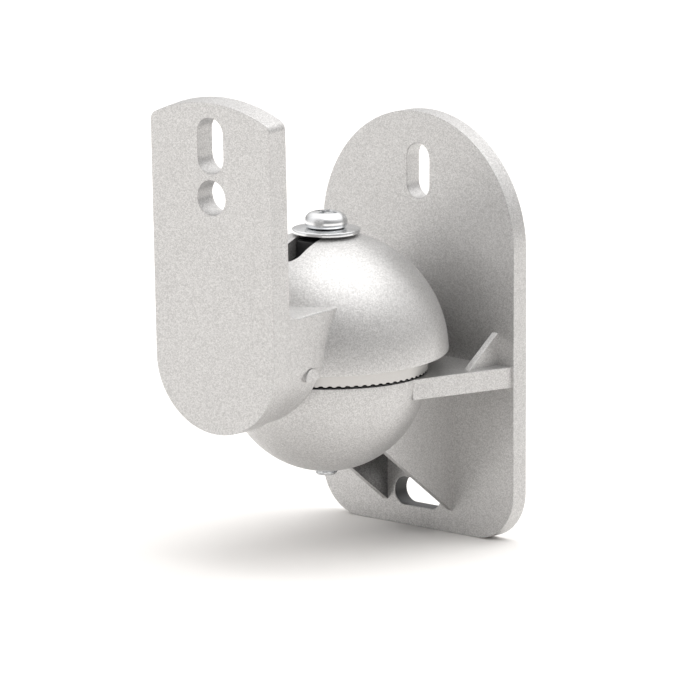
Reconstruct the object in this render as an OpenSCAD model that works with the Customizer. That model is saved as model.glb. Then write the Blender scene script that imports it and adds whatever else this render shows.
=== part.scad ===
// Swivel and tilt wall bracket for a small loudspeaker.
// Millimetres. The origin is the centre of the wall plate's back face: the wall
// is at +Y, the room at -Y, X runs across the plate and +Z is up.

/* [Wall plate] */
// Width of the plate, and twice the radius of its arched top
plate_w = 57; // [47:0.5:70]
// Height of the plate
plate_h = 93; // [77:0.5:120]
// Thickness of the plate
plate_t = 4.1; // [3:0.1:6]
// Radius of the two bottom corners
plate_corner_r = 11; // [4:0.5:16]
// Width of the upright screw slot
top_slot_w = 6.6; // [4:0.1:8]
// Length of the upright screw slot
top_slot_l = 12.3; // [9:0.1:16]
// Depth of the upright slot's centre below the plate's top
top_slot_down = 13.3; // [10:0.1:18]
// Width of the level screw slot
low_slot_w = 6.2; // [4:0.1:7]
// Length of the level screw slot
low_slot_l = 13.8; // [9:0.1:17]
// Height of the level slot's centre above the bottom edge
low_slot_up = 7.6; // [6:0.1:9]

/* [Arm and cup] */
// Room between the wall plate and the dome
wall_gap = 2.8; // [2:0.1:12]
// Height of the shelf's top, which is also the cup's rim, above the bottom edge
shelf_up = 39.4; // [33:0.1:48]
// Thickness of the shelf
shelf_t = 4.6; // [3:0.1:6]
// Step from the plate's edge in to the shelf's side
shelf_inset = 0.8; // [0.3:0.1:3]
// Where the shelf's sides meet the cup, as an angle behind the bolt's axis
shelf_meet = 12; // [0:1:30]
// Wall of the cup
cup_wall = 2.6; // [1.8:0.1:3]
// Thickness of the gussets and of the ribs in the cup
web_t = 1.6; // [1.2:0.1:2.4]
// Distance of each lower gusset from the middle
low_gusset_x = 9.7; // [9:0.1:12]
// Height of the lower gussets' tips above the bottom edge
low_gusset_up = 5; // [3:0.5:12]
// Angle of the lower gussets' free edges above the level
low_gusset_angle = 36.9; // [33:0.1:40]
// Distance of each upper gusset in from the shelf's side
top_gusset_in = 4.8; // [2:0.1:8]
// Height of the upper gussets on the plate
top_gusset_h = 7.1; // [4:0.1:9]
// Length of the upper gussets along the shelf
top_gusset_l = 9.3; // [5:0.1:10]

/* [Ball and teeth] */
// Radius of the ball that the dome turns on
ball_r = 22.5; // [18:0.1:28]
// Height of the ball's centre above the cup's rim
ball_up = 4.2; // [3.6:0.1:5]
// Wall of the ball
ball_wall = 3; // [2:0.1:4]
// Teeth around the rim, which set the swivel's steps
teeth = 72; // [36:2:96]
// Height of a tooth
tooth_h = 0.3; // [0.2:0.05:0.5]
// Length of a tooth along the radius
tooth_l = 2.2; // [1.5:0.1:2.4]

/* [Speaker bracket] */
// Wall of the dome
dome_wall = 4; // [3:0.1:4.5]
// Length of the neck between the dome and the speaker plate
neck_l = 6.6; // [5:0.1:20]
// Thickness of the speaker plate
face_t = 5.3; // [4:0.1:6]
// Width of the speaker plate, and twice the radius of its round bottom
face_w = 33.2; // [27:0.1:42]
// Height of the speaker plate
face_h = 73.8; // [61:0.1:95]
// Depth of the speaker plate's bottom below the ball's centre
face_down = 11.7; // [10:0.1:12]
// Radius of the shallow arch at the top of the speaker plate
face_arch_r = 36; // [24:1:60]
// Radius of the speaker plate's two top corners
face_corner_r = 2.5; // [1.5:0.5:6]
// Diameter of the speaker screw's round hole
hole_d = 7.6; // [5:0.1:8]
// Depth of the round hole below the speaker plate's top
hole_down = 21.2; // [19:0.1:30]
// Width of the speaker screw's slot
face_slot_w = 7; // [5:0.1:8]
// Length of the speaker screw's slot
face_slot_l = 12.3; // [9:0.1:14]
// Depth of the slot's centre below the speaker plate's top
face_slot_down = 9.8; // [9:0.1:12]
// Step from the speaker plate's edge in to the neck's side
neck_step = 0.6; // [0.4:0.1:2]
// Height of the neck's top above the ball's centre
neck_up = 14.7; // [12:0.1:16]
// Radius of the fillet between the neck's top and the speaker plate
neck_fillet = 3; // [1:0.5:5]
// How much wider the dome's slot is than the bolt
dome_slot_play = 1; // [0.6:0.1:2]
// How far the dome's slot reaches in front of the bolt
dome_slot_front = 14.6; // [12:0.1:16]
// How far the dome's slot reaches behind the bolt
dome_slot_back = 10.8; // [9:0.1:13]
// Swivel of the speaker bracket as it stands, to +X
rest_swivel = 5; // [-65:5:65]
// Tilt of the speaker bracket as it stands, front down
rest_tilt = 2; // [-7:1:14]

/* [Bolt, washer and nut] */
// Diameter of the bolt's thread
bolt_d = 5; // [4:0.5:6]
// How far the bolt's tip stands out under the cup
bolt_out = 1; // [0:0.1:4]
// Diameter of the bolt's head
head_d = 9.5; // [8.5:0.1:11]
// Height of the bolt's head
head_h = 3.4; // [3:0.1:4.5]
// Diameter of the dished washer
washer_d = 15; // [13:0.5:18]
// Thickness of the dished washer
washer_t = 0.8; // [0.6:0.1:1.6]
// Radius that the washer is dished to, flatter than the dome
washer_dish_r = 90; // [40:5:200]
// Nut's width across its flats
nut_af = 8; // [7:0.1:9]
// Thickness of the nut
nut_t = 4; // [3:0.1:5]
// How far the nut sits up inside the cup's bottom
nut_in = 0.6; // [0.4:0.1:1.5]

/* [Hidden] */
$fn = 96;

run_gap = 0.05;       // radial clearance of the bolt in its bores and in the nut
slide_gap = 0.3;      // clearance between the ball and the dome
seat_gap = 0.03;      // clearance under the washer and under the bolt's head
tooth_gap = 0.05;     // clearance between the slackened rings of teeth
pocket_gap = 0.06;    // clearance of the nut's flats in their pocket
relief_gap = 0.4;     // the neck's lower half stands this far out of the dome's surface
sink = 0.2;           // how far joined shapes reach into each other
boss_r = 7;           // radius of the bosses that the bolt runs through
boss_drop = 1;        // the cup's boss and ribs stop this far below its rim
rib_count = 8;        // ribs inside the cup and inside the ball
rib_drop = 1;         // the ribs stop this far short of the boss's end
key_far = 7;          // how far the ball's key reaches in front of the bolt's axis
key_near = 0.4;       // the key stops this far short of the bolt's bore
key_gap = 0.15;       // clearance of the key on each side of the slot
key_low = 0.6;        // the key's top stays this far below the dome's surface
key_root = 0.6;       // part of the ball's wall that the key's foot sinks into
tooth_fill = 0.92;    // part of each step that a tooth's foot fills
pad_r = 2.4;          // radius of the small half-round pad on each side of the neck
pad_h = 0.25;         // how far the pad stands out
pad_in = 8;           // distance of the pad's centre behind the speaker plate
pad_bar = 2;          // length of the round bar that makes each pad
washer_play = 0.25;   // radial clearance of the bolt in the washer
dish_fn = 360;        // sides of the washer's wide circles
crown_part = 0.62;    // part of the head's height that is rounded
recess_w = 1.3;       // width of the cross recess's arms
recess_l = 5;         // span of the cross recess
recess_h = 2;         // depth of the cross recess
cut = 1;              // how far cutting shapes pass through a face

foot_z = -plate_h / 2;
rim_z = foot_z + shelf_up;
ball_z = rim_z + ball_up;
ball_base = rim_z + 2 * tooth_h + tooth_gap;
cup_r = sqrt(pow(ball_r, 2) - pow(ball_up, 2));
dome_in_r = ball_r + slide_gap;
dome_r = dome_in_r + dome_wall;
dome_slot_w = bolt_d + dome_slot_play;
reach = plate_t + wall_gap + dome_r;
shelf_w = plate_w - 2 * shelf_inset;
face_back = dome_r + neck_l;
face_out = face_back + face_t;
face_top = face_h - face_down;
face_r = face_w / 2;
face_low_z = face_r - face_down;
neck_r = face_r - neck_step;
neck_relief_r = dome_r + relief_gap;
bore_r = bolt_d / 2 + run_gap;
washer_in_r = dome_r + seat_gap;
washer_top_r = washer_dish_r + washer_t;
washer_hole_r = bolt_d / 2 + washer_play;
washer_low = sqrt(pow(washer_in_r, 2) - pow(washer_hole_r, 2));
washer_dish_z = washer_low - sqrt(pow(washer_dish_r, 2) - pow(washer_hole_r, 2));
head_z = ball_z + washer_dish_z + sqrt(pow(washer_top_r, 2) - pow(washer_hole_r, 2)) + seat_gap;
cup_low_z = rim_z - cup_r;
bolt_l = head_z - cup_low_z + bolt_out;
nut_z = cup_low_z + nut_in;
rib_step = 360 / rib_count;
tooth_step = 360 / teeth;
paint = [0.80, 0.79, 0.78];
zinc = [0.85, 0.86, 0.87];
black = [0.08, 0.08, 0.09];

// ---- shared shapes -------------------------------------------------------

// A flat outline in X and Z, made solid from y = 0 towards -Y
module upright(t) {
    rotate([90, 0, 0]) linear_extrude(t) children();
}

// A web in the Y-Z plane, centred on x; the outline's X is the object's Y
module web(x, t) {
    translate([x - t / 2, 0, 0]) rotate([90, 0, 90]) linear_extrude(t) children();
}

// A slot's outline, l long overall, level or turned by angle
module slot(w, l, angle) {
    rotate(angle) union() {
        square([l - w, w], center = true);
        translate([(l - w) / 2, 0]) circle(d = w);
        translate([(w - l) / 2, 0]) circle(d = w);
    }
}

// Puts a shape on the bolt's axis at height z
module on_axis(z) {
    translate([0, -reach, z]) children();
}

// The lower half of a ball of radius r, under the level z = 0
module lower_half(r) {
    rotate_extrude() intersection() {
        circle(r = r);
        translate([0, -r]) square([r, r]);
    }
}

// The upper half of a ball of radius r, above the level z = base
module upper_part(r, base) {
    rotate_extrude() intersection() {
        circle(r = r);
        translate([0, base]) square([r, r - base]);
    }
}

// A ring of teeth standing on z = 0, whose tips are at tooth_h
module tooth_ring(r, turn) {
    base_w = 2 * PI * (r - tooth_l) / teeth * tooth_fill;
    for (i = [0 : teeth - 1])
        rotate([0, 0, i * tooth_step + turn]) translate([r - tooth_l, 0, 0])
            rotate([90, 0, 90]) linear_extrude(tooth_l - sink)
                polygon([[-base_w / 2, -sink / 2], [-base_w / 2, 0], [-base_w / 6, tooth_h],
                         [base_w / 6, tooth_h], [base_w / 2, 0], [base_w / 2, -sink / 2]]);
}

// Radial ribs between a boss and radius r, from z_low to z_high
module ribs(r, z_low, z_high) {
    for (i = [0 : rib_count - 1])
        rotate([0, 0, (i + 0.5) * rib_step]) translate([boss_r - sink, -web_t / 2, z_low])
            cube([r - boss_r + sink, web_t, z_high - z_low]);
}

// ---- wall bracket: plate, shelf, gussets and cup in one moulding --------

module plate_outline() {
    arch_r = plate_w / 2;
    low = plate_corner_r;
    translate([0, plate_h - arch_r]) circle(r = arch_r);
    translate([-arch_r, low]) square([plate_w, plate_h - arch_r - low]);
    translate([low - arch_r, 0]) square([plate_w - 2 * low, low + sink]);
    for (side = [-1, 1]) translate([side * (arch_r - low), low]) circle(r = low);
}

module wall_plate() {
    translate([0, 0, foot_z]) difference() {
        upright(plate_t) plate_outline();
        translate([0, cut, plate_h - top_slot_down]) upright(plate_t + 2 * cut)
            slot(top_slot_w, top_slot_l, 90);
        translate([0, cut, low_slot_up]) upright(plate_t + 2 * cut)
            slot(low_slot_w, low_slot_l, 0);
    }
}

// The shelf narrows from the plate to where it meets the round of the cup
module shelf() {
    meet_x = cup_r * cos(shelf_meet);
    meet_y = cup_r * sin(shelf_meet) - reach;
    back_y = -plate_t + sink;
    translate([0, 0, rim_z - shelf_t]) linear_extrude(shelf_t)
        polygon([[-shelf_w / 2, back_y], [shelf_w / 2, back_y], [shelf_w / 2, -plate_t],
                 [meet_x, meet_y], [-meet_x, meet_y], [-shelf_w / 2, -plate_t]]);
}

module lower_gusset(x) {
    under = rim_z - shelf_t + sink;
    tip = foot_z + low_gusset_up;
    rise = (reach - plate_t) * tan(low_gusset_angle);
    web(x, web_t) polygon([[-plate_t + sink, tip], [-plate_t, tip], [-reach, tip + rise],
                           [-reach, under], [-plate_t + sink, under]]);
}

module upper_gusset(x) {
    web(x, web_t) polygon([[-plate_t + sink, rim_z - sink], [-plate_t - top_gusset_l, rim_z - sink],
                           [-plate_t - top_gusset_l, rim_z], [-plate_t, rim_z + top_gusset_h],
                           [-plate_t + sink, rim_z + top_gusset_h]]);
}

module cup_inside() {
    inside_r = cup_r - cup_wall;
    difference() {
        on_axis(rim_z) union() {
            lower_half(inside_r);
            cylinder(r = inside_r, h = cut);
        }
        on_axis(cup_low_z) cylinder(r = boss_r, h = cup_r - boss_drop);
        on_axis(rim_z) ribs(cup_r - cup_wall / 2, -cup_r, -boss_drop - rib_drop);
    }
}

module wall_bracket() {
    color(paint) difference() {
        union() {
            wall_plate();
            shelf();
            for (side = [-1, 1]) lower_gusset(side * low_gusset_x);
            for (side = [-1, 1]) upper_gusset(side * (shelf_w / 2 - top_gusset_in));
            on_axis(rim_z) lower_half(cup_r);
            on_axis(rim_z) tooth_ring(cup_r, 0);
        }
        cup_inside();
        on_axis(cup_low_z - cut) cylinder(r = bore_r, h = cup_r + 2 * cut);
        on_axis(cup_low_z - cut) rotate([0, 0, 30])
            cylinder(r = (nut_af / 2 + pocket_gap) / cos(30), h = cut + nut_in + nut_t, $fn = 6);
    }
}

// ---- swivel ball: turns with the speaker bracket, step by step ----------

// A block in front of the bolt, which the dome's slot turns with it
module ball_key() {
    top = dome_r - key_low;
    key_w = dome_slot_w - 2 * key_gap;
    intersection() {
        upper_part(top, 0);
        translate([-key_w / 2, -key_far, ball_r - key_root * ball_wall])
            cube([key_w, key_far - bore_r - key_near, top]);
    }
}

module ball_shape() {
    base = ball_base - ball_z;
    difference() {
        union() {
            difference() {
                upper_part(ball_r, base);
                upper_part(ball_r - ball_wall, base - cut);
            }
            translate([0, 0, base + boss_drop]) cylinder(r = boss_r, h = ball_r - ball_wall - base);
            intersection() {
                upper_part(ball_r - ball_wall / 2, base);
                ribs(ball_r, base + boss_drop + rib_drop, ball_r);
            }
            ball_key();
            translate([0, 0, base]) mirror([0, 0, 1])
                tooth_ring(sqrt(pow(ball_r, 2) - pow(base, 2)) - sink / 4, tooth_step / 2);
        }
        translate([0, 0, base - cut]) cylinder(r = bore_r, h = dome_r - base + 2 * cut);
    }
}

module swivel_ball() {
    color(black) on_axis(ball_z) rotate([0, 0, rest_swivel]) ball_shape();
}

// ---- speaker bracket: dome, neck and speaker plate in one moulding ------

// Every shape here is drawn about the ball's centre, square to the speaker
module face_outline() {
    arch_z = face_top - face_arch_r;
    corner_x = face_r - face_corner_r;
    corner_z = arch_z + sqrt(pow(face_arch_r - face_corner_r, 2) - pow(corner_x, 2));
    translate([0, face_low_z]) circle(r = face_r);
    translate([-face_r, face_low_z]) square([face_w, corner_z - face_low_z]);
    for (side = [-1, 1]) translate([side * corner_x, corner_z]) circle(r = face_corner_r);
    intersection() {
        translate([0, arch_z]) circle(r = face_arch_r);
        translate([-face_r, corner_z - sink]) square([face_w, face_arch_r]);
        arch_fan(arch_z, corner_x, corner_z);
    }
}

// The wedge of the arch between the two corners' last points
module arch_fan(arch_z, corner_x, corner_z) {
    reach_out = face_arch_r + cut;
    lean = atan2(corner_x, corner_z - arch_z);
    polygon([[0, arch_z], [-reach_out * tan(lean), arch_z + reach_out],
             [reach_out * tan(lean), arch_z + reach_out]]);
}

module speaker_plate() {
    translate([0, -face_back, 0]) upright(face_t) face_outline();
}

module neck_outline() {
    translate([0, face_low_z]) circle(r = neck_r);
    translate([-neck_r, face_low_z]) square([2 * neck_r, neck_up - face_low_z]);
}

module neck() {
    difference() {
        upright(face_back + sink) intersection() {
            neck_outline();
            translate([-face_w, -face_w]) square([2 * face_w, face_w + neck_up]);
        }
        translate([0, 0, -2 * dome_r]) cylinder(r = neck_relief_r, h = 2 * dome_r);
        translate([-face_w, -dome_r / 2, -dome_r]) cube([2 * face_w, dome_r, 2 * dome_r]);
    }
    web(0, 2 * neck_r) difference() {
        translate([-face_back - sink, neck_up - sink])
            square([neck_fillet + sink, neck_fillet + sink]);
        translate([-face_back + neck_fillet, neck_up + neck_fillet]) circle(r = neck_fillet);
    }
}

// Half-round pads low on the neck's sides
module neck_pads() {
    for (side = [-1, 1]) intersection() {
        translate([side * (neck_r + pad_h - pad_bar / 2), pad_in - face_back, 0]) rotate([0, 90, 0])
            cylinder(r = pad_r, h = pad_bar, center = true);
        translate([-face_w, -dome_r * 2, 0]) cube([2 * face_w, dome_r * 2, pad_r]);
    }
}

module dome_slot() {
    slot_l = dome_slot_front + dome_slot_back;
    translate([0, (dome_slot_back - dome_slot_front) / 2, 0]) linear_extrude(dome_r + cut)
        slot(dome_slot_w, slot_l, 90);
}

module speaker_shape() {
    difference() {
        union() {
            upper_part(dome_r, 0);
            neck();
            neck_pads();
            speaker_plate();
        }
        sphere(r = dome_in_r);
        dome_slot();
        translate([0, cut - face_back, face_top - face_slot_down]) upright(face_t + 2 * cut)
            slot(face_slot_w, face_slot_l, 90);
        translate([0, cut - face_back, face_top - hole_down]) rotate([90, 0, 0])
            cylinder(d = hole_d, h = face_t + 2 * cut);
    }
}

module speaker_bracket() {
    color(paint) on_axis(ball_z) rotate([0, 0, rest_swivel]) rotate([rest_tilt, 0, 0])
        speaker_shape();
}

// ---- clamping hardware ---------------------------------------------------

// The washer is dished a little and lies on the dome across its slot
module dished_washer() {
    color(zinc) on_axis(ball_z) rotate_extrude() intersection() {
        translate([0, washer_dish_z]) difference() {
            circle(r = washer_top_r, $fn = dish_fn);
            circle(r = washer_dish_r, $fn = dish_fn);
        }
        translate([washer_hole_r, 0])
            square([washer_d / 2 - washer_hole_r, 2 * washer_low]);
    }
}

// A pan head's outline: flat under, a low wall and a rounded top
module pan_outline() {
    crown_r = head_h * crown_part;
    square([head_d / 2 - crown_r, head_h]);
    square([head_d / 2, head_h - crown_r]);
    translate([head_d / 2 - crown_r, head_h - crown_r]) intersection() {
        circle(r = crown_r);
        square([crown_r, crown_r]);
    }
}

module clamp_bolt() {
    chamfer = bolt_d / 10;
    color(zinc) on_axis(head_z) difference() {
        union() {
            rotate_extrude() pan_outline();
            translate([0, 0, chamfer - bolt_l]) cylinder(d = bolt_d, h = bolt_l - chamfer + sink);
            translate([0, 0, -bolt_l])
                cylinder(d1 = bolt_d - 2 * chamfer, d2 = bolt_d, h = chamfer);
        }
        for (turn = [0, 90]) rotate([0, 0, turn + 45])
            translate([-recess_l / 2, -recess_w / 2, head_h - recess_h])
                cube([recess_l, recess_w, recess_h + cut]);
    }
}

module captive_nut() {
    color(zinc) on_axis(nut_z) difference() {
        rotate([0, 0, 30]) cylinder(r = nut_af / 2 / cos(30), h = nut_t - seat_gap, $fn = 6);
        translate([0, 0, -cut]) cylinder(r = bore_r, h = nut_t + 2 * cut);
    }
}

wall_bracket();
swivel_ball();
speaker_bracket();
dished_washer();
clamp_bolt();
captive_nut();
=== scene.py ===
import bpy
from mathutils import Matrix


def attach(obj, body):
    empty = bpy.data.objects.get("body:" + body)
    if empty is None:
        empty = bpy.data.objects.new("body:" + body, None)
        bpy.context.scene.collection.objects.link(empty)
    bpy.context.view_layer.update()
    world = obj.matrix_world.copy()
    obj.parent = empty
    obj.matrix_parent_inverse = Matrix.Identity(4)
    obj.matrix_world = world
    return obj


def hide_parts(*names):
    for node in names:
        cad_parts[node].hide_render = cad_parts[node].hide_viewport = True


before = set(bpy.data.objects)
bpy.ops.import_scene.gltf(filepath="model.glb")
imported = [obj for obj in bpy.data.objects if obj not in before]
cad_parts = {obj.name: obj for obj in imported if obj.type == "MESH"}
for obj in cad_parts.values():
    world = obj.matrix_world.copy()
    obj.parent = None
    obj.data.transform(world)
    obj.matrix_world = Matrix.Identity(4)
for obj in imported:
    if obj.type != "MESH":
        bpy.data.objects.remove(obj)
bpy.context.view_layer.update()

import bmesh
import bpy
import math
from mathutils import Matrix, Vector

# ---------------------------------------------------------------------------
# Wall bracket: an arched plate, a shelf with two webs under it and two small
# gussets on it, and a toothed cup. It is one moulding in a fine metallic silver
# paint, with painted shade on its teeth, its level slot's walls and between its
# long webs; two screws through its slots hold it to the wall.
# ---------------------------------------------------------------------------

MM = 0.001

# how the parts stand to each other: the plate's foot, the cup's rim, the bolt's axis
plate_foot_z = -46.5
cup_rim_z = -7.1
bolt_axis_y = -33.7


def arc(cx, cy, r, start, end, steps=12):
    """One round of an outline: centre, radius, and the angles it runs between."""
    return (cx, cy, r, start, end, steps)


def run_outline(arcs, inset=0.0):
    """The outline's points, moved in by inset. The rounds are all convex."""
    points = []
    for cx, cy, r, start, end, steps in arcs:
        for i in range(steps + 1):
            a = math.radians(start + (end - start) * i / steps)
            points.append((cx + (r - inset) * math.cos(a), cy + (r - inset) * math.sin(a)))
    return points


def eased_polygon(corners, r, steps=3):
    """A convex outline with straight sides, its corners eased to radius r."""
    arcs = []
    count = len(corners)
    turning = sum(corners[i][0] * corners[(i + 1) % count][1]
                  - corners[(i + 1) % count][0] * corners[i][1] for i in range(count))
    if turning < 0:
        corners = corners[::-1]
    for i in range(count):
        before, here, after = (Vector(corners[(i + k) % count]) for k in (-1, 0, 1))
        come, go = (here - before).normalized(), (after - here).normalized()
        start = math.degrees(math.atan2(-come.x, come.y))
        end = math.degrees(math.atan2(-go.x, go.y))
        while end < start:
            end += 360
        turn = math.radians(end - start)
        centre = here + (go - come).normalized() * (r / math.cos(turn / 2))
        arcs.append(arc(centre.x, centre.y, r, start, end, steps))
    return arcs


def eased_depths(thick, ease, draft=0.0, steps=4):
    """How a moulded slab's outline moves in through its thickness: both edges eased, front smaller."""
    front = [(ease * (1 - math.sin(a)), ease * (1 - math.cos(a)))
             for a in (math.pi / 2 * i / steps for i in range(steps + 1))]
    rear = [(inset, thick - depth) for inset, depth in reversed(front)]
    return [(inset + draft * (1 - depth / thick), depth) for inset, depth in front + rear]


def flared_depths(thick, ease, over=0.6, steps=4):
    """The same for a tool that cuts a hole: it flares at both faces and runs past them."""
    near = [(-ease * (1 - math.sin(a)), ease * (1 - math.cos(a)))
            for a in (math.pi / 2 * i / steps for i in range(steps + 1))]
    far = [(inset, thick - depth) for inset, depth in reversed(near)]
    return [(-ease, -over)] + near + far + [(-ease, thick + over)]


def to_object(name, bm):
    """Turns a finished bmesh into an object, with every face looking out."""
    bmesh.ops.recalc_face_normals(bm, faces=bm.faces)
    mesh = bpy.data.meshes.new(name)
    bm.to_mesh(mesh)
    bm.free()
    made = bpy.data.objects.new(name, mesh)
    bpy.context.scene.collection.objects.link(made)
    return made


def slab(name, arcs, depths, place):
    """A closed slab from an outline; place turns (across, up, depth) into a point in mm."""
    bm = bmesh.new()
    rings = [[bm.verts.new(Vector(place(u, v, depth)) * MM) for u, v in run_outline(arcs, inset)]
             for inset, depth in depths]
    for low, high in zip(rings, rings[1:]):
        for i in range(len(low)):
            k = (i + 1) % len(low)
            bm.faces.new((low[i], low[k], high[k], high[i]))
    bm.faces.new(rings[0])
    bm.faces.new(rings[-1])
    bmesh.ops.remove_doubles(bm, verts=bm.verts, dist=1e-7)
    return to_object(name, bm)


def turned(name, profile, segments, axis_y=bolt_axis_y, base_z=0.0, closed=False, wave=None):
    """A turned solid. profile holds (radius, height, share of the wave); wave(angle) lifts it."""
    bm = bmesh.new()
    rings = []
    for r, z, share in profile:
        if r < 1e-6:
            rings.append([bm.verts.new(Vector((0, axis_y, base_z + z)) * MM)])
            continue
        ring = []
        for i in range(segments):
            a = 2 * math.pi * i / segments
            lift = share * wave(a) if wave and share else 0.0
            ring.append(bm.verts.new(Vector((r * math.cos(a), axis_y + r * math.sin(a),
                                             base_z + z + lift)) * MM))
        rings.append(ring)
    pairs = list(zip(rings, rings[1:])) + ([(rings[-1], rings[0])] if closed else [])
    for low, high in pairs:
        for i in range(segments):
            k = (i + 1) % segments
            if len(low) == 1:
                bm.faces.new((low[0], high[k], high[i]))
            elif len(high) == 1:
                bm.faces.new((low[i], low[k], high[0]))
            else:
                bm.faces.new((low[i], low[k], high[k], high[i]))
    return to_object(name, bm)


def ball_arc(r, start_z, end_z, steps, share=0.0):
    """Points of a turned profile along a ball of radius r, between two heights."""
    a0, a1 = math.asin(start_z / r), math.asin(end_z / r)
    return [(r * math.cos(a0 + (a1 - a0) * i / steps), r * math.sin(a0 + (a1 - a0) * i / steps), share)
            for i in range(steps + 1)]


def worked(base, tool, how):
    """Joins tool to base, or cuts it away, and leaves one closed mesh."""
    step = base.modifiers.new(how, "BOOLEAN")
    step.operation, step.solver, step.object = how, "EXACT", tool
    bpy.context.view_layer.update()
    seen = base.evaluated_get(bpy.context.evaluated_depsgraph_get())
    old, base.data = base.data, bpy.data.meshes.new_from_object(seen)
    base.modifiers.clear()
    bpy.data.meshes.remove(old)
    bpy.data.objects.remove(tool)
    return base


def eased_shading(piece, angle=31.0):
    """Smooth over the eased edges and rounds, crisp where two faces really meet."""
    mesh = piece.data
    mesh.materials.clear()
    mesh.shade_smooth()
    mesh.set_sharp_from_angle(angle=math.radians(angle))
    weigh = piece.modifiers.new("flat_faces_lead", "WEIGHTED_NORMAL")
    weigh.keep_sharp = True
    weigh.weight = 100


def node_adder(tree):
    """The shorthand that adds a node to a tree, with its sockets linked or set."""
    def add(kind, inputs=(), **settings):
        node = tree.nodes.new(kind)
        for key, value in settings.items():
            setattr(node, key, value)
        for socket, value in dict(inputs).items():
            if isinstance(value, bpy.types.NodeSocket):
                tree.links.new(value, node.inputs[socket])
            else:
                node.inputs[socket].default_value = value
        return node

    return add


def finish_nodes(name):
    """A new finish with its node tree, its shader and its node adder."""
    finish = bpy.data.materials.new(name)
    finish.use_nodes = True
    tree = finish.node_tree
    return finish, tree, tree.nodes["Principled BSDF"], node_adder(tree)


def silver_paint(name, dark_flake, light_flake):
    """Sprayed silver: fine metallic flake under a satin skin, with a faint orange peel."""
    finish, tree, shader, add = finish_nodes(name)
    where = add("ShaderNodeTexCoord").outputs["Object"]
    flake = add("ShaderNodeTexVoronoi", {"Vector": where, "Scale": 5000.0}, feature="F1")
    cloud = add("ShaderNodeTexNoise", {"Vector": where, "Scale": 90.0, "Detail": 3.0})
    grain = add("ShaderNodeTexNoise", {"Vector": where, "Scale": 3600.0, "Detail": 2.0, "Roughness": 0.6})
    glint = add("ShaderNodeSeparateColor", {"Color": flake.outputs["Color"]})
    tone = add("ShaderNodeMix", {"Factor": glint.outputs["Red"], "A": (*dark_flake, 1),
                                 "B": (*light_flake, 1)}, data_type="RGBA")
    drift = add("ShaderNodeMapRange", {"Value": cloud.outputs["Fac"], "To Min": 0.965, "To Max": 1.03})
    colour = add("ShaderNodeVectorMath", {0: tone.outputs["Result"], 1: drift.outputs["Result"]},
                 operation="MULTIPLY")
    gloss = add("ShaderNodeMapRange", {"Value": glint.outputs["Green"], "To Min": 0.34, "To Max": 0.50})
    peel = add("ShaderNodeBump", {"Strength": 0.5, "Distance": 0.00005, "Height": grain.outputs["Fac"]})
    eased = add("ShaderNodeBevel", {"Radius": 0.0001}, samples=4)
    tree.links.new(eased.outputs["Normal"], peel.inputs["Normal"])
    tree.links.new(colour.outputs["Vector"], shader.inputs["Base Color"])
    tree.links.new(gloss.outputs["Result"], shader.inputs["Roughness"])
    tree.links.new(peel.outputs["Normal"], shader.inputs["Normal"])
    shader.inputs["Metallic"].default_value = 0.75
    return finish


def black_moulding(name, sprayed):
    """Black painted shade with a fine spark texture: all over, or above a ragged line hidden under the dome,
    with silver paint below it.
    """
    finish, tree, shader, add = finish_nodes(name)
    where = add("ShaderNodeTexCoord").outputs["Object"]
    spark = add("ShaderNodeTexNoise", {"Vector": where, "Scale": 2600.0, "Detail": 3.0})
    gloss = add("ShaderNodeMapRange", {"Value": spark.outputs["Fac"], "To Min": 0.36, "To Max": 0.56})
    skin = add("ShaderNodeBump", {"Strength": 0.25, "Distance": 0.00004, "Height": spark.outputs["Fac"]})
    tree.links.new(gloss.outputs["Result"], shader.inputs["Roughness"])
    tree.links.new(skin.outputs["Normal"], shader.inputs["Normal"])
    if not sprayed:
        # painted shade: near-black, its tone varying with the spark noise
        shade_tone = add("ShaderNodeMix", {"Factor": spark.outputs["Fac"], "A": (0.006, 0.006, 0.007, 1),
                                     "B": (0.016, 0.016, 0.017, 1)}, data_type="RGBA")
        tree.links.new(shade_tone.outputs["Result"], shader.inputs["Base Color"])
        return finish
    # painted shade: black above a ragged height, silver paint below it
    edge = add("ShaderNodeTexNoise", {"Vector": where, "Scale": 500.0, "Detail": 2.0})
    height = add("ShaderNodeSeparateXYZ", {"Vector": where}).outputs["Z"]
    ragged = add("ShaderNodeMath", {0: edge.outputs["Fac"], 1: 0.0015, 2: height}, operation="MULTIPLY_ADD")
    shade_mask = add("ShaderNodeMapRange", {"Value": ragged.outputs["Value"], "From Min": -0.0012,
                                      "From Max": 0.0022, "To Min": 0.0, "To Max": 1.0},
               interpolation_type="SMOOTHSTEP")
    colour = add("ShaderNodeMix", {"Factor": shade_mask.outputs["Result"], "A": (0.60, 0.59, 0.575, 1),
                                   "B": (0.018, 0.018, 0.020, 1)}, data_type="RGBA")
    metal = add("ShaderNodeMapRange", {"Value": shade_mask.outputs["Result"], "To Min": 0.60, "To Max": 0.0})
    tree.links.new(colour.outputs["Result"], shader.inputs["Base Color"])
    tree.links.new(metal.outputs["Result"], shader.inputs["Metallic"])
    return finish


def give_painted_shade(piece, finish, in_shade):
    """Gives faces a finish of painted shade, picking them by their corners (mm) and outward direction."""
    piece.data.materials.append(finish)
    slot = len(piece.data.materials) - 1
    for face in piece.data.polygons:
        if in_shade([piece.data.vertices[i].co / MM for i in face.vertices], face.normal):
            face.material_index = slot


tooth_ring_in, tooth_ring_out = 19.0, 22.6


def on_teeth(corners, low, high):
    """Whether a face lies on a ring of teeth, between two heights over the cup's rim."""
    out = [math.hypot(c.x, c.y - bolt_axis_y) for c in corners]
    up = [c.z - cup_rim_z for c in corners]
    in_ring = min(out) > tooth_ring_in and max(out) < tooth_ring_out
    return in_ring and min(up) > low and max(up) < high


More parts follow.
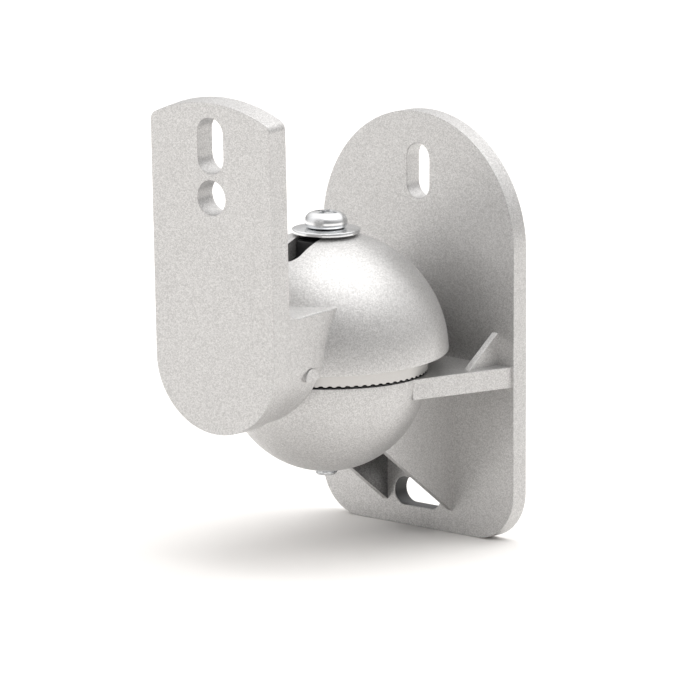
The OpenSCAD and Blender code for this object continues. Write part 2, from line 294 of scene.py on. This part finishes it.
silver = silver_paint("silver_paint", (0.455, 0.450, 0.445), (0.675, 0.669, 0.662))
# painted shade: a darker copy of the silver paint, for the faces between the long webs
painted_shade_silver = silver_paint("silver_paint_for_painted_shade", (0.10, 0.10, 0.10), (0.21, 0.208, 0.205))
# painted shade: a near-black finish for the creases and recesses where shade falls
painted_shade_black = black_moulding("painted_shade_black", False)

plate_wide, plate_tall, plate_thick = 57.0, 93.0, 4.1
plate_top_r = plate_wide / 2
plate_corner_r = 11.0


def on_plate(u, v, depth):
    """Across, up from the foot, and depth from the wall plate's front face."""
    return (u, depth - plate_thick, plate_foot_z + v)


wall_bracket = slab(
    "wall_bracket_moulding",
    [arc(0, plate_tall - plate_top_r, plate_top_r, 0, 180, 72),
     arc(plate_corner_r - plate_top_r, plate_corner_r, plate_corner_r, 180, 270, 20),
     arc(plate_top_r - plate_corner_r, plate_corner_r, plate_corner_r, 270, 360, 20)],
    eased_depths(plate_thick, 0.18), on_plate)


def slot_rounds(x, z, wide, long, upright):
    """The two half-rounds of a screw slot."""
    reach = (long - wide) / 2
    if upright:
        return [arc(x, z + reach, wide / 2, 0, 180, 20), arc(x, z - reach, wide / 2, 180, 360, 20)]
    return [arc(x + reach, z, wide / 2, -90, 90, 20), arc(x - reach, z, wide / 2, 90, 270, 20)]


# heights over the plate's foot, widths and lengths of the two screw slots
upright_slot_up, upright_slot_wide, upright_slot_long = 79.7, 6.6, 12.3
level_slot_up, level_slot_wide, level_slot_long = 7.6, 6.2, 13.8
slot_ease = 0.2
for rounds in (slot_rounds(0, upright_slot_up, upright_slot_wide, upright_slot_long, True),
               slot_rounds(0, level_slot_up, level_slot_wide, level_slot_long, False)):
    worked(wall_bracket, slab("slot_tool", rounds, flared_depths(plate_thick, slot_ease), on_plate),
           "DIFFERENCE")

# the shelf narrows from the plate to the cup; like the webs, it is rooted inside the plate
root_y = -3.6
shelf_thick = 4.6
shelf_side = 27.7
cup_r = 22.1
meet_angle = math.radians(12)
meet_x, meet_y = cup_r * math.cos(meet_angle), cup_r * math.sin(meet_angle) + bolt_axis_y
worked(wall_bracket, slab(
    "shelf",
    eased_polygon([(-shelf_side, root_y), (shelf_side, root_y), (shelf_side, -plate_thick),
                   (meet_x, meet_y), (-meet_x, meet_y), (-shelf_side, -plate_thick)], 0.2),
    eased_depths(shelf_thick, 0.15), lambda u, v, depth: (u, v, cup_rim_z - depth)), "UNION")

# two long webs under the shelf and two low gussets on it
web_thick = 1.6
web_x = 9.7
web_slope = math.radians(-36.9)
web_tip, web_rise = plate_foot_z + 5, (plate_thick + bolt_axis_y) * math.tan(web_slope)
web_top = cup_rim_z - shelf_thick + 0.5
gusset_x, gusset_tall, gusset_long = 22.9, 7.1, 9.3
for side in (-1, 1):
    worked(wall_bracket, slab(
        "lower_web",
        eased_polygon([(root_y, web_tip - 0.375), (bolt_axis_y, web_tip + web_rise),
                       (bolt_axis_y, web_top), (root_y, web_top)], 0.3),
        eased_depths(web_thick, 0.1, steps=2),
        lambda u, v, depth: (side * web_x + depth - web_thick / 2, u, v)), "UNION")
    worked(wall_bracket, slab(
        "upper_gusset",
        eased_polygon([(root_y, cup_rim_z - 0.5), (root_y, cup_rim_z + gusset_tall),
                       (-plate_thick, cup_rim_z + gusset_tall),
                       (-plate_thick - gusset_long, cup_rim_z + 0.02),
                       (-plate_thick - gusset_long, cup_rim_z - 0.5)], 0.25),
        eased_depths(web_thick, 0.1, steps=2),
        lambda u, v, depth: (side * gusset_x + depth - web_thick / 2, u, v)), "UNION")

# the cup, with its ring of 72 teeth
teeth = 72
tooth_tall = 0.3
tooth_steep = 1.8


def cup_teeth(angle):
    """A wave with flattened crests and valleys, one for each tooth, standing on the rim."""
    return tooth_tall / 2 * (1 + math.tanh(tooth_steep * math.cos(teeth * angle)) / math.tanh(tooth_steep))


cup_wall = 2.6
cup = turned(
    "cup",
    ball_arc(cup_r, -cup_r, -0.12, 36)[:-1]
    + [(cup_r, -0.12, 0), (cup_r - 0.03, 0, 1), (cup_r - 1.2, 0, 1), (cup_r - cup_wall + 0.1, 0, 1),
       (cup_r - cup_wall - 0.1, 0, 0), (0, 0, 0)],
    teeth * 6, base_z=cup_rim_z, wave=cup_teeth)
worked(wall_bracket, cup, "UNION")

# its inside: a hollow round a boss that the bolt runs through, and a hexagon for the nut below
boss_r = 7.0
hollow_r = cup_r - cup_wall
worked(wall_bracket, turned(
    "cup_hollow",
    [(0, -1, 0), (boss_r, -1, 0)] + ball_arc(hollow_r, -math.sqrt(hollow_r ** 2 - boss_r ** 2), 0, 24)
    + [(hollow_r, 1.5, 0), (0, 1.5, 0)], 144, base_z=cup_rim_z), "DIFFERENCE")
bore_r = 2.55
nut_flats = 8.0
nut_z = cup_rim_z - cup_r + 0.6
hexagon = [(math.cos(math.radians(60 * k + 30)), math.sin(math.radians(60 * k + 30))) for k in range(6)]


def round_bolt(u, v, depth):
    """Across and along from the bolt's axis, and depth up from the nut's lower face."""
    return (u, bolt_axis_y + v, nut_z + depth)


def turned_round_bolt(angle, base_z):
    """Places a slab that stands on a radius from the bolt's axis, turned by angle."""
    return lambda u, v, depth: (u * math.cos(angle) - depth * math.sin(angle),
                                bolt_axis_y + u * math.sin(angle) + depth * math.cos(angle), base_z + v)


ribs = 8
rib_angles = [math.radians(360 / ribs * (k + 0.5)) for k in range(ribs)]
rib_depths = [(0, -web_thick / 2), (0, web_thick / 2)]
pocket_r = (nut_flats / 2 + 0.06) / math.cos(math.radians(30))
worked(wall_bracket, slab(
    "nut_pocket", eased_polygon([(x * pocket_r, y * pocket_r) for x, y in hexagon], 0.1),
    [(0, -3.0), (0, 4.0)], round_bolt), "DIFFERENCE")
worked(wall_bracket, turned(
    "cup_bore", [(0, -25, 0), (bore_r, -25, 0), (bore_r, 2, 0), (0, 2, 0)], 48, base_z=cup_rim_z),
    "DIFFERENCE")
for angle in rib_angles:
    worked(wall_bracket, slab(
        "cup_rib",
        eased_polygon([(boss_r - 0.4, -14), (hollow_r + 0.6, -5), (hollow_r + 0.6, -2), (boss_r - 0.4, -2)],
                      0.2),
        rib_depths, turned_round_bolt(angle, cup_rim_z)), "UNION")

eased_shading(wall_bracket)
wall_bracket.data.materials.append(silver)
# painted shade: black on the teeth and on the level slot's walls, and a darker silver between the long webs
give_painted_shade(wall_bracket, painted_shade_black, lambda corners, out: on_teeth(corners, -0.14, 0.35))
give_painted_shade(wall_bracket, painted_shade_black, lambda corners, out: (
    abs(out.y) < 0.5 and all(abs(c.x) < 7.0 and abs(c.z - plate_foot_z - level_slot_up) < 3.2
                             for c in corners)
    and all(c.y > -plate_thick + 0.15 for c in corners)))
web_inner_x = web_x - web_thick / 2
# painted shade: the inner faces of the long webs get the darker silver
give_painted_shade(wall_bracket, painted_shade_silver, lambda corners, out: (
    abs(out.x) > 0.9 and all(abs(abs(c.x) - web_inner_x) < 0.1 and out.x * c.x < 0 for c in corners)))
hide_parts("wall_bracket")
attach(wall_bracket, "wall")

# ---------------------------------------------------------------------------
# Captive nut: a plain M5 nut, bright zinc on steel, pressed up into the hexagon
# under the cup, where the clamp bolt pulls it tight.
# ---------------------------------------------------------------------------


def bright_zinc():
    """Zinc plate: bright, very slightly blue, with fine turning marks and soft patches."""
    finish, tree, shader, add = finish_nodes("bright_zinc")
    where = add("ShaderNodeTexCoord").outputs["Object"]
    patch = add("ShaderNodeTexNoise", {"Vector": where, "Scale": 420.0, "Detail": 4.0})
    fine = add("ShaderNodeTexNoise", {"Vector": where, "Scale": 6000.0, "Detail": 2.0})
    ramp = add("ShaderNodeMix", {"Factor": patch.outputs["Fac"], "A": (0.70, 0.715, 0.73, 1),
                                 "B": (0.86, 0.865, 0.87, 1)}, data_type="RGBA")
    gloss = add("ShaderNodeMapRange", {"Value": patch.outputs["Fac"], "From Min": 0.3, "From Max": 0.7,
                                       "To Min": 0.14, "To Max": 0.27})
    scuff = add("ShaderNodeBump", {"Strength": 0.10, "Distance": 0.00002, "Height": fine.outputs["Fac"]})
    tree.links.new(ramp.outputs["Result"], shader.inputs["Base Color"])
    tree.links.new(gloss.outputs["Result"], shader.inputs["Roughness"])
    tree.links.new(scuff.outputs["Normal"], shader.inputs["Normal"])
    shader.inputs["Metallic"].default_value = 1.0
    return finish


zinc = bright_zinc()
nut_r = nut_flats / 2 / math.cos(math.radians(30))
nut_tall, nut_ease = 3.97, 0.35
captive_nut = slab("captive_nut_m5", eased_polygon([(x * nut_r, y * nut_r) for x, y in hexagon], 0.6),
                   [(nut_ease, 0.0), (0.0, 0.3), (0.0, nut_tall - 0.3), (nut_ease, nut_tall)], round_bolt)
worked(captive_nut, turned(
    "nut_bore", [(0, -1, 0), (3.1, -1, 0), (3.1, 0, 0), (bore_r, 0.45, 0), (bore_r, 3.5, 0), (3.1, 3.98, 0),
                 (3.1, 5, 0), (0, 5, 0)], 48, base_z=nut_z), "DIFFERENCE")
eased_shading(captive_nut)
captive_nut.data.materials.append(zinc)
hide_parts("captive_nut")
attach(captive_nut, "wall")

# ---------------------------------------------------------------------------
# Swivel ball: a half ball that the dome tilts on. Its rim carries the second
# ring of teeth, and a key in front of the bolt sits in the dome's slot. It is
# silver on the band that shows under the dome; above it, inside the dome, and
# on its teeth it is black, a painted shade.
# ---------------------------------------------------------------------------

ball_r = 22.5
ball_z = cup_rim_z + 4.2
ball_inner_r = 19.5
ball_base = cup_rim_z + 0.65 - ball_z
swivel = math.radians(5)


def ball_teeth(angle):
    """The same wave as the cup's, turned over, so that the two rings are in mesh."""
    return tooth_tall / 2 * (math.tanh(tooth_steep * math.cos(teeth * angle)) / math.tanh(tooth_steep) - 1)


ball_rim_r = math.sqrt(ball_r ** 2 - ball_base ** 2)
ball_top_z = math.sqrt(ball_r ** 2 - bore_r ** 2)
swivel_ball = turned(
    "swivel_ball_moulding",
    [(ball_inner_r - 0.4, ball_base, 1), (ball_rim_r - 1.2, ball_base, 1), (ball_rim_r, ball_base, 1)]
    + ball_arc(ball_r, ball_base + 0.12, ball_top_z, 48)
    + [(bore_r, ball_base + 1, 0), (boss_r, ball_base + 1, 0)]
    + ball_arc(ball_inner_r, math.sqrt(ball_inner_r ** 2 - boss_r ** 2), ball_base + 0.12, 24),
    teeth * 6, base_z=ball_z, closed=True, wave=ball_teeth)
for angle in rib_angles:
    worked(swivel_ball, slab(
        "ball_rib",
        eased_polygon([(boss_r - 0.4, ball_base + 2), (ball_inner_r - 0.2, ball_base + 2),
                       (ball_inner_r + 0.6, 3), (boss_r - 0.4, 18.6)], 0.2),
        rib_depths, turned_round_bolt(angle, ball_z)), "UNION")
key_wide = 5.7
key_front, key_rear, key_low = -7.0, -2.95, 20.8
worked(swivel_ball, slab(
    "ball_key", eased_polygon([(key_rear, key_low), (key_rear, 26.0), (key_front, 25.2),
                               (key_front, key_low)], 0.35),
    eased_depths(key_wide, 0.3),
    lambda u, v, depth: (depth - key_wide / 2, u + bolt_axis_y, ball_z + v)), "UNION")
about_bolt = Matrix.Translation((0, bolt_axis_y * MM, 0))
swivel_ball.data.transform(about_bolt @ Matrix.Rotation(swivel, 4, "Z") @ about_bolt.inverted())
eased_shading(swivel_ball)
# painted shade: the ball is black above a ragged line inside the dome, silver on the band below
swivel_ball.data.materials.append(black_moulding("black_moulding", True))
# painted shade: black on the downward faces of the ball's teeth
give_painted_shade(swivel_ball, painted_shade_black, lambda corners, out: out.z < -0.3 and on_teeth(corners, 0.3, 0.7))
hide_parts("swivel_ball")
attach(swivel_ball, "ball")

# ---------------------------------------------------------------------------
# Speaker bracket: a dome that caps the ball, a short neck and the upright plate
# that the speaker is screwed to. One moulding in the same silver paint, drawn
# square about the ball's centre and then turned 5 and tilted 2 degrees.
# ---------------------------------------------------------------------------

dome_r = 26.8
dome_inner_r = 22.8
face_front, face_thick = 38.7, 5.3
face_back = face_front - face_thick
face_half = 16.6
face_low_z = face_half - 11.7
face_top_z = 62.1


def on_face(u, v, depth):
    """Across, up from the ball's centre, and depth behind the speaker plate's front."""
    return (u, depth - face_front, v)


arch_r, face_corner_r = 36.0, 2.5
corner_x = face_half - face_corner_r
corner_z = face_top_z - arch_r + math.sqrt((arch_r - face_corner_r) ** 2 - corner_x ** 2)
lean = math.degrees(math.atan2(corner_z - face_top_z + arch_r, corner_x))
speaker_bracket = slab(
    "speaker_bracket_moulding",
    [arc(0, face_low_z, face_half, 180, 360, 60), arc(corner_x, corner_z, face_corner_r, 0, lean, 12),
     arc(0, face_top_z - arch_r, arch_r, lean, 180 - lean, 16),
     arc(-corner_x, corner_z, face_corner_r, 180 - lean, 180, 12)],
    eased_depths(face_thick, 0.16, draft=0.35), on_face)

# the neck: flat on top, round below like the plate, cut away over the cup
neck_half = face_half - 0.6
neck_top, neck_ease = 14.7, 0.5
neck_long = face_back - 12
relief_r = 27.2
neck_hollow_r = 24.6
neck = slab(
    "neck",
    [arc(0, face_low_z, neck_half, 180, 360, 48),
     arc(neck_half - neck_ease, neck_top - neck_ease, neck_ease, 0, 90, 4),
     arc(neck_ease - neck_half, neck_top - neck_ease, neck_ease, 90, 180, 4)],
    [(0, -0.4), (0, neck_long)], lambda u, v, depth: (u, depth - face_back, v))
worked(neck, turned(
    "neck_relief", [(0, -30, 0), (relief_r, -30, 0), (relief_r, 0, 0), (0, 0, 0)], 192, axis_y=0),
    "DIFFERENCE")
worked(neck, turned("neck_hollow", ball_arc(neck_hollow_r, -neck_hollow_r, neck_hollow_r, 64), 160, axis_y=0),
       "DIFFERENCE")
dome = turned(
    "dome",
    [(0, dome_r, 0)] + ball_arc(dome_r, dome_r - 0.01, 0.3, 56)
    + [(dome_r - 0.04, 0.14, 0), (dome_r - 0.13, 0.04, 0), (dome_r - 0.3, 0, 0), (dome_inner_r + 0.2, 0, 0)]
    + ball_arc(dome_inner_r, 0.2, dome_inner_r - 0.01, 48) + [(0, dome_inner_r, 0)], 288, axis_y=0)
worked(dome, neck, "UNION")
worked(speaker_bracket, dome, "UNION")

# a hollow round joins the neck's top to the plate
fillet_r = 3.0
bm = bmesh.new()
curve = [(-face_back - 0.5, neck_top - 0.5), (-face_back + fillet_r + 0.2, neck_top - 0.5),
         (-face_back + fillet_r + 0.2, neck_top + 0.002)]
curve += [(-face_back + fillet_r - fillet_r * math.sin(math.radians(t)),
           neck_top + fillet_r - fillet_r * math.cos(math.radians(t))) for t in range(9, 90, 9)]
curve += [(-face_back + 0.002, neck_top + fillet_r + 0.2), (-face_back - 0.5, neck_top + fillet_r + 0.2)]
ends = [[bm.verts.new(Vector((x, y, z)) * MM) for y, z in curve]
        for x in (-neck_half + 0.02, neck_half - 0.02)]
for i in range(len(curve)):
    k = (i + 1) % len(curve)
    bm.faces.new((ends[0][i], ends[0][k], ends[1][k], ends[1][i]))
bm.faces.new(ends[0])
bm.faces.new(ends[1])
worked(speaker_bracket, to_object("neck_fillet", bm), "UNION")

# a small half-round pad low on each side of the neck, with a fine groove round it
pad_y = 8 - face_back
pad_r, pad_proud, groove_r, groove_deep = 2.35, 0.25, 2.7, 0.35
for side in (-1, 1):
    worked(speaker_bracket, slab(
        "pad_groove",
        [arc(pad_y, 0.1, groove_r, 0, 180, 20), arc(pad_y - groove_r + 0.2, 0.1, 0.2, 180, 270, 3),
         arc(pad_y + groove_r - 0.2, 0.1, 0.2, 270, 360, 3)],
        [(0, -1), (0, groove_deep)], lambda u, v, depth: (side * (neck_half - depth), u, v)), "DIFFERENCE")
    worked(speaker_bracket, slab(
        "neck_pad",
        [arc(pad_y, 0.3, pad_r, 0, 180, 20), arc(pad_y - pad_r + 0.3, 0.3, 0.3, 180, 270, 4),
         arc(pad_y + pad_r - 0.3, 0.3, 0.3, 270, 360, 4)],
        [(0.07, 0), (0.0, 0.07), (0, 1.2)],
        lambda u, v, depth: (side * (neck_half + pad_proud - depth), u, v)), "UNION")

# the slot in the dome's top, and the slot and hole for the speaker's screws
slot_front, slot_rear, slot_half = 14.6, 10.8, 3.0
face_slot_z, face_slot_wide, face_slot_long = face_top_z - 9.8, 7.0, 12.3
face_hole_z, face_hole_r = face_top_z - 21.2, 3.8
worked(speaker_bracket, slab(
    "dome_slot_tool", [arc(0, slot_rear - slot_half, slot_half, 0, 180, 20),
                       arc(0, slot_half - slot_front, slot_half, 180, 360, 20)],
    [(0, 8), (0, 30)], lambda u, v, depth: (u, v, depth)), "DIFFERENCE")
face_hole = [arc(0, face_hole_z, face_hole_r, start, start + 180, 20) for start in (0, 180)]
for rounds in (slot_rounds(0, face_slot_z, face_slot_wide, face_slot_long, True), face_hole):
    worked(speaker_bracket, slab("face_tool", rounds, flared_depths(face_thick, slot_ease), on_face),
           "DIFFERENCE")

tilt = math.radians(2)
as_it_stands = (Matrix.Translation((0, bolt_axis_y * MM, ball_z * MM))
                @ Matrix.Rotation(swivel, 4, "Z") @ Matrix.Rotation(tilt, 4, "X"))
speaker_bracket.data.transform(as_it_stands)
eased_shading(speaker_bracket)
speaker_bracket.data.materials.append(silver)
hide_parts("speaker_bracket")
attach(speaker_bracket, "speaker")

# ---------------------------------------------------------------------------
# Dished washer: stamped steel, zinc plated and dished a little, so that it
# bridges the dome's slot and spreads the bolt's pull. It stays level as the
# dome tilts under it.
# ---------------------------------------------------------------------------

washer_out, washer_in, washer_ease = 7.5, 2.75, 0.18
washer_low_r, washer_high_r = 90.0, 90.8
dish_z = math.sqrt((dome_r + 0.03) ** 2 - washer_in ** 2) - math.sqrt(washer_low_r ** 2 - washer_in ** 2)


def on_dish(r, out):
    """A point of the washer's profile, on a dish of radius r and out from the bolt's axis."""
    return (out, dish_z + math.sqrt(r ** 2 - out ** 2), 0)


dished_washer = turned(
    "dished_washer_steel",
    [on_dish(washer_high_r, washer_in + (washer_out - washer_ease - washer_in) * i / 10) for i in range(11)]
    + [(washer_out - 0.05, on_dish(washer_high_r, washer_out)[1] - 0.06, 0),
       (washer_out, on_dish(washer_high_r, washer_out)[1] - 0.18, 0),
       (washer_out, on_dish(washer_low_r, washer_out)[1] + 0.1, 0)]
    + [on_dish(washer_low_r, washer_out - 0.08 - (washer_out - 0.08 - washer_in) * i / 10)
       for i in range(11)],
    128, base_z=ball_z, closed=True)
eased_shading(dished_washer)
dished_washer.data.materials.append(zinc)
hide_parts("dished_washer")
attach(dished_washer, "washer")

# ---------------------------------------------------------------------------
# Clamp bolt: an M5 pan head screw with a cross recess, bright zinc. It runs
# through the washer, the dome's slot, the ball and the cup into the nut, and its
# thread's end shows a millimetre under the cup.
# ---------------------------------------------------------------------------

head_z = ball_z + on_dish(washer_high_r, washer_in)[1] + 0.03
head_r, head_tall, thread_r = 4.75, 3.4, 2.5
bolt_long = head_z - (cup_rim_z - cup_r) + 1.0
crown_z, crown_out, crown_up = 1.25, 2.2, head_tall - 1.25
crown = [(head_r - crown_out + crown_out * math.cos(math.radians(t)),
          crown_z + crown_up * math.sin(math.radians(t)), 0) for t in range(0, 91, 9)]
clamp_bolt = turned(
    "clamp_bolt_steel",
    [(0, -3, 0), (thread_r, -3, 0), (thread_r, -0.2, 0), (thread_r + 0.15, 0, 0), (head_r - 0.75, 0, 0),
     (head_r - 0.5, 0.08, 0), (head_r - 0.24, 0.32, 0), (head_r - 0.07, 0.72, 0)] + crown
    + [(1.2, head_tall + 0.04, 0), (0, head_tall + 0.05, 0)],
    96, base_z=head_z)
recess_turn = 13
for turn in (recess_turn, recess_turn + 90):
    worked(clamp_bolt, slab(
        "recess_blade", eased_polygon([(-2.95, 0.6), (-1.6, -1.9), (1.6, -1.9), (2.95, 0.6)], 0.15),
        [(0.1, -0.62), (0, -0.5), (0, 0.5), (0.1, 0.62)],
        turned_round_bolt(math.radians(turn), head_z + head_tall)), "DIFFERENCE")

# the threaded length, as one helix of 0.8 mm pitch
pitch, thread_deep, thread_from = 0.8, 0.42, 2.6
nose_long, nose_deep = 0.6, 0.45
around, ring_gap = 36, 0.1
bm = bmesh.new()
rings = []
steps = int((bolt_long - thread_from) / ring_gap)
for i in range(steps + 1):
    z = -thread_from - (bolt_long - thread_from) * i / steps
    nose = max(0.0, (z + bolt_long - nose_long) / -nose_long) * nose_deep
    ring = []
    for k in range(around):
        a = 2 * math.pi * k / around
        phase = (z / pitch - a / (2 * math.pi)) % 1.0
        ridge = min(1.0, abs(phase - 0.5) * 2.6)
        r = min(thread_r - thread_deep * (1 - ridge), thread_r - nose)
        ring.append(bm.verts.new(Vector((r * math.cos(a), bolt_axis_y + r * math.sin(a), head_z + z)) * MM))
    rings.append(ring)
for high, low in zip(rings, rings[1:]):
    for k in range(around):
        j = (k + 1) % around
        bm.faces.new((high[k], high[j], low[j], low[k]))
bm.faces.new(rings[0])
bm.faces.new(rings[-1])
worked(clamp_bolt, to_object("thread", bm), "UNION")
eased_shading(clamp_bolt)
clamp_bolt.data.materials.append(zinc)
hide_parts("clamp_bolt")
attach(clamp_bolt, "bolt")

# ---------------------------------------------------------------------------
# Studio: white paper under the plate's foot, a sky made of a bank of lights and
# white walls, one broad soft key light from above, and a long-lens camera.
# ---------------------------------------------------------------------------

bm = bmesh.new()
floor_half, floor_gap = 30.0, 0.00002
bmesh.ops.create_grid(bm, x_segments=8, y_segments=8, size=floor_half)
floor = to_object("studio_floor", bm)
floor.location.z = plate_foot_z * MM - floor_gap
paper, tree, shader, add = finish_nodes("studio_paper")
shade = add("ShaderNodeTexNoise", {"Vector": add("ShaderNodeTexCoord").outputs["Object"], "Scale": 0.5})
tint = add("ShaderNodeMix", {"Factor": shade.outputs["Fac"], "A": (0.975, 0.96, 0.94, 1),
                             "B": (0.985, 0.97, 0.95, 1)}, data_type="RGBA")
tree.links.new(tint.outputs["Result"], shader.inputs["Base Color"])
shader.inputs["Roughness"].default_value = 0.9
shader.inputs["Specular IOR Level"].default_value = 0.1
floor.data.materials.append(paper)

world = bpy.data.worlds.new("studio_sky")
bpy.context.scene.world = world
world.use_nodes = True
sky = world.node_tree.nodes["Background"]
sky_node = node_adder(world.node_tree)
looking = sky_node("ShaderNodeTexCoord").outputs["Generated"]


def glow(way, edge, full, dim, bright):
    """A patch of sky centred on a direction, which brightens from its edge to where it is full."""
    facing = sky_node("ShaderNodeVectorMath", {0: looking, 1: way}, operation="DOT_PRODUCT")
    patch = sky_node("ShaderNodeMapRange", {"Value": facing.outputs["Value"], "From Min": edge,
                                            "From Max": full, "To Min": dim, "To Max": bright},
                     interpolation_type="SMOOTHSTEP")
    return patch.outputs["Result"]


# a bank of lights overhead and behind, white walls at the front left and far right, a dim room between
overhead = glow((-0.10, 0.30, 0.95), 0.20, 0.98, 0.33, 1.55)
white_wall = glow((-0.66, -0.75, 0.05), 0.50, 1.0, 0.0, 0.64)
far_wall = glow((0.81, 0.52, 0.25), 0.60, 1.0, 0.0, 0.14)
walls = sky_node("ShaderNodeMath", {0: white_wall, 1: far_wall}, operation="ADD")
bright = sky_node("ShaderNodeMath", {0: overhead, 1: walls.outputs["Value"]}, operation="ADD")
world.node_tree.links.new(bright.outputs["Value"], sky.inputs["Strength"])
sky.inputs["Color"].default_value = (1.0, 0.99, 0.985, 1)

key_way = Vector((-0.22, -0.12, -0.97))
key_light = bpy.data.lights.new("key_light", "SUN")
key_light.energy = 0.9
key_light.angle = math.radians(60)
key_lamp = bpy.data.objects.new("key_light", key_light)
key_lamp.rotation_mode = "QUATERNION"
key_lamp.rotation_quaternion = key_way.to_track_quat("-Z", "Y")
bpy.context.scene.collection.objects.link(key_lamp)

# the camera looks at the bracket's middle from far off, and stands a little right of and below its line
azimuth, elevation = math.radians(42.82), math.radians(10.83)
aim = Vector((0, -35.0, 1.5))
camera_far, camera_right, camera_low = 2550, 6.11, 3.93
back = Vector((math.sin(azimuth) * math.cos(elevation), -math.cos(azimuth) * math.cos(elevation),
               math.sin(elevation)))
right = Vector((math.cos(azimuth), math.sin(azimuth), 0))
up = back.cross(right)
lens = bpy.data.cameras.new("studio_camera")
lens.sensor_width = 36.0
lens.lens = 601.5
lens.clip_start, lens.clip_end = 0.1, 100.0
camera = bpy.data.objects.new("studio_camera", lens)
camera.location = (aim + back * camera_far + right * camera_right - up * camera_low) * MM
camera.rotation_mode = "QUATERNION"
camera.rotation_quaternion = (-back).to_track_quat("-Z", "Y")
bpy.context.scene.collection.objects.link(camera)
bpy.context.scene.camera = camera
bpy.context.scene.view_settings.view_transform = "Standard"
